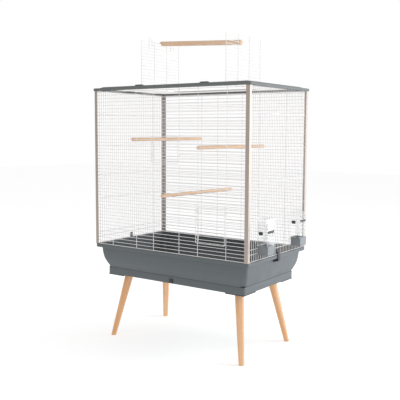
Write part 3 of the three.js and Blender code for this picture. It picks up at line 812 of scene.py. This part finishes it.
def make_front_doors(sizes, colours):
    """Sliding wire doors: two rails, cross wires, four hooks over the uprights and a bent pull."""
    radius, sides = sizes.wire / 2, sizes.wire_sides
    for name, way in DOORWAYS.items():
        node = f"front_door_{name}"
        shape = Shape()
        upright_low, _ = box_mm("front_grille_uprights")
        plane = upright_low.y - 1.5
        rails = way["uprights"][0] - 7.5, way["uprights"][1] - 5.5
        heights = long_bar_heights()
        low, high = heights[way["bars"][0]] - way["reach"] / 2, heights[way["bars"][1]] + way["reach"]
        rungs = evenly(low, high, way["rungs"])
        outline = [
            ((rails[0], plane, low), 3), ((rails[1], plane, low), 3),
            ((rails[1], plane, high), 3), ((rails[0], plane, high), 3),
        ]
        wire_along(shape, filleted(outline, is_loop=True), radius, sides, is_loop=True)
        for z in rungs[1:-1]:
            wire_along(shape, straight("x", (plane, z), rails[0] - 0.6, rails[1] + 0.6), radius, sides)
            for x in rails:
                weld(shape, (x, plane, z), "z", sizes.wire, sizes.bead * 0.9)
        for rail, upright in zip(rails, way["uprights"]):
            far = upright + 3.5
            for z in (rungs[2] + 4, rungs[-3] + 4):
                hook = [((rail, plane, z), 0), ((far, plane, z), 1.4), ((far, plane + 3.2, z), 0)]
                wire_along(shape, filleted(hook), radius * 0.9, sides)
                weld(shape, (rail, plane, z), "z", sizes.wire, sizes.bead * 0.9)
        centre = (rails[0] + rails[1]) / 2 + 5
        pull_y, pull_z = plane - 4, rungs[2] + 0.5
        pull = [
            ((centre - 19, plane, pull_z), 0), ((centre - 19, pull_y, pull_z), 2),
            ((centre + 19, pull_y, pull_z), 2), ((centre + 19, plane, pull_z), 0),
        ]
        wire_along(shape, filleted(pull), radius, sides)
        wire_piece(shape, f"{node}_wires", colours, node, [node])


# ---------------------------------------------------------------- roof

# Channel section, from the foot of the skirt outside: inset, height, rounding.
ROOF_PROFILE = (
    (0, 1079.5, 0.5), (0, 1090.5, 1.6), (17.5, 1091.5, 5), (28, 1096, 4), (31, 1097, 3), (44, 1097, 1.5),
    (46, 1095, 1), (46, 1085.7, 0.3), (50, 1085.7, 0.4), (50, 1083.2, 0.4), (43.4, 1083.2, 0.8),
    (43.4, 1094.4, 1), (31.5, 1094.4, 2), (18.5, 1088.9, 3), (2.4, 1088.1, 1), (2.4, 1079.5, 0.5),
)


def make_roof_frame(sizes, colours):
    _, high = box_mm("roof_frame")
    abs_plastic = roof_abs(colours)
    profile = filleted([((inset, z), rounding) for inset, z, rounding in ROOF_PROFILE], is_loop=True)
    rings = ring_of_profile(
        profile, high.x, high.y, lambda inset: max(8 - inset * 0.14, 1.4), sizes.corner_steps,
    )
    shape = Shape()
    shape.rings(rings, is_loop=True)
    shape.piece("roof_frame_moulding", abs_plastic, "cage", "roof_plastic", ["roof_frame"], 50)
    for side in ("left", "right"):
        with_edges(f"roof_clip_{side}", abs_plastic, sizes.edge)


def make_roof_grille(sizes, colours):
    """Roof wires: bars across, runners along, and the doors' opening in the middle."""
    radius, sides = sizes.wire / 2, sizes.wire_sides
    low, high = box_mm("roof_grille_right")
    half_x, half_y = high.x - 1, high.y - 1
    bar_z, runner_z = low.z + 1, high.z - 1
    opening_x, opening_y = middle("roof_door_right", "x"), ROOF_RUNNERS[-1]
    shape = Shape()
    rows = [-half_y, *ROOF_RUNNERS, half_y]
    for x in evenly(-half_x, half_x, ROOF_BARS):
        is_cut = abs(x) < opening_x - 1
        spans = [(-half_y - 1, half_y + 1)]
        if is_cut:
            spans = [(-half_y - 1, -opening_y + 1), (opening_y - 1, half_y + 1)]
        for start, stop in spans:
            wire_along(shape, straight("y", (x, bar_z), start, stop), radius, sides)
        for y in rows:
            if any(start <= y <= stop for start, stop in spans):
                weld(shape, (x, y, (bar_z + runner_z) / 2), "z", sizes.wire, sizes.bead)
    for y in rows:
        is_cut = abs(y) < opening_y - 1
        spans = [(-half_x - 1, half_x + 1)]
        if is_cut:
            spans = [(-half_x - 1, -opening_x + 1), (opening_x - 1, half_x + 1)]
        for start, stop in spans:
            wire_along(shape, straight("x", (y, runner_z), start, stop), radius, sides)
    for x in (-half_x, half_x):
        wire_along(shape, straight("y", (x, runner_z), -half_y - 1, half_y + 1), radius, sides)
    replaced = [f"roof_grille_{place}" for place in ("left", "right", "front", "back")]
    wire_piece(shape, "roof_grille_wires", colours, "cage", replaced)
    for side, name in SIDE_NAMES.items():
        _, rod_high = box_mm(f"roof_hinge_rod_{name}")
        x, z, reach = side * opening_x, rod_high.z - 1, rod_high.y - 1
        rod = Shape()
        path = [
            ((x, -reach, bar_z), 0), ((x, -reach, z), 2.2), ((x, reach, z), 2.2), ((x, reach, bar_z), 0),
        ]
        wire_along(rod, filleted(path), radius, sides)
        wire_piece(rod, f"hinge_wire_{name}", colours, "cage", [f"roof_hinge_rod_{name}"])


def make_roof_doors(sizes, colours):
    """Standing wire doors whose runners curl into eyelets round the hinge wires."""
    radius, sides = sizes.wire / 2, sizes.wire_sides
    for side, name in SIDE_NAMES.items():
        node = f"roof_door_{name}"
        joint = next(joint for joint in frame["joints"] if joint["name"] == f"{node}_swing")
        pivot_x, pivot_z = joint["pos_m"][0] / MM - CAGE_X, joint["pos_m"][2] / MM
        low, high = box_mm(node)
        top = high.z - 1
        runner_x = pivot_x + side * EYELET
        rung_x = runner_x - side * sizes.wire * 0.96
        rungs = [top - DOOR_PITCH * index for index in range(DOOR_RUNGS)]
        shape = Shape()
        for y in ROOF_RUNNERS:
            path = [Vector((runner_x, y, top + 1))]
            for turn in range(0, 331, 22):
                angle = math.radians(-turn)
                across, up = math.cos(angle) * EYELET, math.sin(angle) * EYELET
                drift = 1.1 * turn / 330
                path.append(Vector((pivot_x + side * across, y + drift, pivot_z + up)))
            wire_along(shape, path, radius, sides)
            for z in rungs:
                weld(shape, ((runner_x + rung_x) / 2, y, z), "x", sizes.wire, sizes.bead)
        for z in rungs:
            wire_along(shape, straight("y", (rung_x, z), low.y, high.y), radius, sides)
        wire_piece(shape, f"{node}_wires", colours, node, [node])
    left_x = box_mm("roof_catch_front")[0].x + 0.4
    for end in ("front", "back"):
        node = f"roof_catch_{end}"
        low, high = box_mm(node)
        near, far = low.y + 1, high.y - 1
        bridge = high.z - 12
        shape = Shape()
        wire_along(shape, [Vector((left_x, near, low.z)), Vector((left_x, near, high.z))], radius, sides)
        hook = [
            ((left_x, near, bridge), 0), ((left_x, far, bridge), 4), ((left_x, far, low.z + 10), 0),
        ]
        wire_along(shape, filleted(hook, 6), radius, sides)
        weld(shape, (left_x, near, bridge), "x", sizes.wire, sizes.bead)
        wire_piece(shape, f"{node}_wire", colours, "roof_door_left", [node])


# ---------------------------------------------------------------- perches

def cut_away(piece, low, high):
    """Cuts a box, given in mm about the cage's centre, out of a piece."""
    low, high = Vector(low), Vector(high)
    corners = [
        (Vector((x, y, z)) + Vector((CAGE_X, 0, 0))) * MM
        for x in (low.x, high.x) for y in (low.y, high.y) for z in (low.z, high.z)
    ]
    faces = [(0, 1, 3, 2), (4, 6, 7, 5), (0, 4, 5, 1), (2, 3, 7, 6), (0, 2, 6, 4), (1, 5, 7, 3)]
    mesh = bpy.data.meshes.new("cutter")
    mesh.from_pydata(corners, [], faces)
    cutter = bpy.data.objects.new("cutter", mesh)
    bpy.context.scene.collection.objects.link(cutter)
    notch = piece.modifiers.new("Notch", "BOOLEAN")
    notch.operation = "DIFFERENCE"
    notch.object = cutter
    notch.solver = "EXACT"
    bpy.context.view_layer.update()
    shown = piece.evaluated_get(bpy.context.evaluated_depsgraph_get())
    result = bpy.data.meshes.new_from_object(shown)
    piece.modifiers.clear()
    piece.data = result
    bpy.data.objects.remove(cutter)


def dowel(name, ends, radius, notches, body, node, material, seed):
    """A turned perch with chamfered ends, and a slot or notch where it holds a wire."""
    start, end = (Vector(point) for point in ends)
    along = (end - start).normalized()
    side = along.orthogonal().normalized()
    across = along.cross(side)
    length = (end - start).length
    chamfer = 1.2
    stations = [(0, radius - chamfer), (chamfer * 0.3, radius - chamfer * 0.35), (chamfer, radius)]
    stations += [(length * share, radius) for share in (0.25, 0.5, 0.75)]
    stations += [(length - place, size) for place, size in reversed(stations[:3])]
    rings = [
        [
            start + along * place + (side * math.cos(turn) + across * math.sin(turn)) * size
            for turn in evenly(0, 2 * math.pi, 41)[:-1]
        ]
        for place, size in stations
    ]
    shape = Shape()
    shape.rings(rings)
    piece = shape.piece(name, material, body, "perch_wood", [node])
    for low, high in notches:
        cut_away(piece, low, high)
    piece.data.set_sharp_from_angle(angle=math.radians(40))
    store_grain(piece, (start + Vector((CAGE_X, 0, 0))) * MM, along, seed)


def make_perches(sizes, colours):
    beech = bare_beech(colours)
    heights = long_bar_heights()
    bar_y = abs(middle("front_grille_bars", "y"))
    end_y, slot_y = bar_y + 0.4, bar_y - 2.5
    for seed, (name, (front_x, back_x, bar)) in enumerate(PERCHES.items()):
        z = heights[bar]
        notches = [
            ((-250, min(sign * slot_y, sign * 240), z - 1.5), (250, max(sign * slot_y, sign * 240), z + 1.5))
            for sign in (-1, 1)
        ]
        ends = (front_x, -end_y, z), (back_x, end_y, z)
        dowel(f"{name}_dowel", ends, PERCH_RADIUS, notches, "cage", name, beech, seed)
    dowel(
        "roof_perch_dowel", ROOF_PERCH_ENDS, ROOF_PERCH_RADIUS, ROOF_PERCH_NOTCHES, "roof_perch", "roof_perch",
        beech, ROOF_PERCH_SEED,
    )


# ---------------------------------------------------------------- feeders

def make_feeders(sizes, colours):
    for end in ("front", "back"):
        with_edges(f"feeder_cup_{end}", cup_polypropylene(colours), sizes.edge * 1.2)
        with_edges(f"feeder_hood_{end}", clear_polystyrene(colours), sizes.edge)
        with_edges(f"feeder_handle_{end}", fitting_nylon(colours), sizes.edge)
        with_edges(f"feeder_catch_{end}", fitting_nylon(colours), sizes.edge)


# ---------------------------------------------------------------- stage

def area_light(name, place, target, width, height, power, colour=(1, 1, 1)):
    light = bpy.data.lights.new(name, "AREA")
    light.shape, light.size, light.size_y = "RECTANGLE", width, height
    light.energy, light.color = power, colour
    lamp = bpy.data.objects.new(name, light)
    lamp.location = place
    lamp.rotation_euler = (Vector(target) - Vector(place)).to_track_quat("-Z", "Y").to_euler()
    bpy.context.scene.collection.objects.link(lamp)


def make_stage(studio, colours):
    scene = bpy.context.scene
    camera = bpy.data.cameras.new("Camera")
    camera.lens, camera.sensor_width = studio.lens, 36
    camera.clip_end = 100
    holder = bpy.data.objects.new("Camera", camera)
    holder.location = studio.camera_place
    holder.rotation_euler = studio.camera_turn
    scene.collection.objects.link(holder)
    scene.camera = holder

    mesh = bpy.data.meshes.new("floor")
    reach = 12
    corners = [(x * reach, y * reach, 0) for x, y in ((-1, -1), (1, -1), (1, 1), (-1, 1))]
    mesh.from_pydata(corners, [], [(0, 1, 2, 3)])
    floor = bpy.data.objects.new("floor", mesh)
    scene.collection.objects.link(floor)
    # White studio vinyl: matt and even, with a faint mottle.
    material, tree, shader = new_material("Studio vinyl")
    place = add_node(tree, "ShaderNodeTexCoord").outputs["Object"]
    mottle = add_node(tree, "ShaderNodeTexNoise", inputs={"Vector": place, "Scale": 3.0, "Detail": 2.0})
    tree.links.new(tinted(tree, colours.floor, mottle.outputs["Fac"], 0.01), shader.inputs["Base Color"])
    shader.inputs["Roughness"].default_value = 0.9
    shader.inputs["Emission Color"].default_value = (1, 1, 1, 1)
    shader.inputs["Emission Strength"].default_value = studio.floor_glow
    mesh.materials.append(material)

    world = bpy.data.worlds.new("Studio")
    world.use_nodes = True
    world.node_tree.nodes.clear()
    seen = add_node(world.node_tree, "ShaderNodeLightPath").outputs["Is Camera Ray"]
    strength = add_node(world.node_tree, "ShaderNodeMapRange", inputs={
        "Value": seen, "To Min": studio.sky, "To Max": 1.0,
    })
    sky = add_node(world.node_tree, "ShaderNodeBackground", inputs={
        "Color": (1, 1, 1, 1), "Strength": strength.outputs["Result"],
    })
    add_node(world.node_tree, "ShaderNodeOutputWorld", inputs={"Surface": sky.outputs[0]})
    scene.world = world
    area_light("Key light", (2.8, 2.0, 1.4), (0, 0, 0.7), 2.6, 2.6, studio.key, (0.93, 0.97, 1.0))
    area_light("Fill light", (-0.4, -3.6, 2.4), (0, 0, 0.7), 2.2, 1.6, studio.fill)
    scene.view_settings.view_transform = "Standard"


# ---------------------------------------------------------------- operators and panel

class CageOperator:
    """What the cage's operators share: the settings they read."""

    bl_options = {"REGISTER", "UNDO"}

    def execute(self, context):
        scene = context.scene
        self.make(scene.cage_sizes, scene.cage_colours)
        return {"FINISHED"}


class CAGE_OT_legs(CageOperator, bpy.types.Operator):
    """Makes the four turned legs, and finishes their sockets and bolts"""

    bl_idname = "cage.legs"
    bl_label = "Legs"
    make = staticmethod(make_legs)


class CAGE_OT_stand_frame(CageOperator, bpy.types.Operator):
    """Makes the two halves of the stand's frame"""

    bl_idname = "cage.stand_frame"
    bl_label = "Stand frame"
    make = staticmethod(make_stand_frame)


class CAGE_OT_tray(CageOperator, bpy.types.Operator):
    """Makes the moulded tray"""

    bl_idname = "cage.tray"
    bl_label = "Tray"
    make = staticmethod(make_tray)


class CAGE_OT_tray_latches(CageOperator, bpy.types.Operator):
    """Finishes the latches that hold the grilles on the tray"""

    bl_idname = "cage.tray_latches"
    bl_label = "Tray latches"
    make = staticmethod(make_tray_latches)


class CAGE_OT_posts(CageOperator, bpy.types.Operator):
    """Finishes the four corner posts"""

    bl_idname = "cage.posts"
    bl_label = "Corner posts"
    make = staticmethod(make_posts)


class CAGE_OT_long_grilles(CageOperator, bpy.types.Operator):
    """Makes the front and back grilles"""

    bl_idname = "cage.long_grilles"
    bl_label = "Front and back grilles"
    make = staticmethod(make_long_grilles)


class CAGE_OT_side_grilles(CageOperator, bpy.types.Operator):
    """Makes the left and right grilles"""

    bl_idname = "cage.side_grilles"
    bl_label = "Side grilles"
    make = staticmethod(make_side_grilles)


class CAGE_OT_front_doors(CageOperator, bpy.types.Operator):
    """Makes the two sliding doors in the front grille"""

    bl_idname = "cage.front_doors"
    bl_label = "Front doors"
    make = staticmethod(make_front_doors)


class CAGE_OT_roof_frame(CageOperator, bpy.types.Operator):
    """Makes the moulded roof frame and finishes its clips"""

    bl_idname = "cage.roof_frame"
    bl_label = "Roof frame"
    make = staticmethod(make_roof_frame)


class CAGE_OT_roof_grille(CageOperator, bpy.types.Operator):
    """Makes the roof grille and the wires its doors hinge on"""

    bl_idname = "cage.roof_grille"
    bl_label = "Roof grille"
    make = staticmethod(make_roof_grille)


class CAGE_OT_roof_doors(CageOperator, bpy.types.Operator):
    """Makes the two roof doors and their catches"""

    bl_idname = "cage.roof_doors"
    bl_label = "Roof doors"
    make = staticmethod(make_roof_doors)


class CAGE_OT_perches(CageOperator, bpy.types.Operator):
    """Makes the three inner perches and the roof perch"""

    bl_idname = "cage.perches"
    bl_label = "Perches"
    make = staticmethod(make_perches)


class CAGE_OT_feeders(CageOperator, bpy.types.Operator):
    """Finishes the two feeders"""

    bl_idname = "cage.feeders"
    bl_label = "Feeders"
    make = staticmethod(make_feeders)


class CAGE_OT_stage(bpy.types.Operator):
    """Makes the camera, floor and soft studio light"""

    bl_idname = "cage.stage"
    bl_label = "Stage"
    bl_options = {"REGISTER", "UNDO"}

    def execute(self, context):
        make_stage(context.scene.cage_studio, context.scene.cage_colours)
        return {"FINISHED"}


OPERATORS = (
    CAGE_OT_stage, CAGE_OT_legs, CAGE_OT_stand_frame, CAGE_OT_tray, CAGE_OT_tray_latches, CAGE_OT_posts,
    CAGE_OT_long_grilles, CAGE_OT_side_grilles, CAGE_OT_front_doors, CAGE_OT_roof_frame,
    CAGE_OT_roof_grille, CAGE_OT_roof_doors, CAGE_OT_perches, CAGE_OT_feeders,
)


class CAGE_PT_panel(bpy.types.Panel):
    """Lists the cage's pieces and settings"""

    bl_label = "Bird cage"
    bl_idname = "CAGE_PT_panel"
    bl_space_type = "VIEW_3D"
    bl_region_type = "UI"
    bl_category = "Bird cage"

    def draw(self, context):
        for group in (context.scene.cage_sizes, context.scene.cage_colours, context.scene.cage_studio):
            column = self.layout.column(align=True)
            for name in group.__annotations__:
                column.prop(group, name)
        column = self.layout.column(align=True)
        for operator in OPERATORS:
            column.operator(operator.bl_idname)


SETTINGS = {"cage_sizes": CageSizes, "cage_colours": CageColours, "cage_studio": CageStudio}


def register():
    for group in (*SETTINGS.values(), *OPERATORS, CAGE_PT_panel):
        bpy.utils.register_class(group)
    for name, group in SETTINGS.items():
        setattr(bpy.types.Scene, name, PointerProperty(type=group))


def unregister():
    for name in SETTINGS:
        delattr(bpy.types.Scene, name)
    for group in reversed((*SETTINGS.values(), *OPERATORS, CAGE_PT_panel)):
        bpy.utils.unregister_class(group)


def main():
    register()
    for operator in OPERATORS:
        family, name = operator.bl_idname.split(".")
        getattr(getattr(bpy.ops, family), name)()


if __name__ == "__main__":
    main()
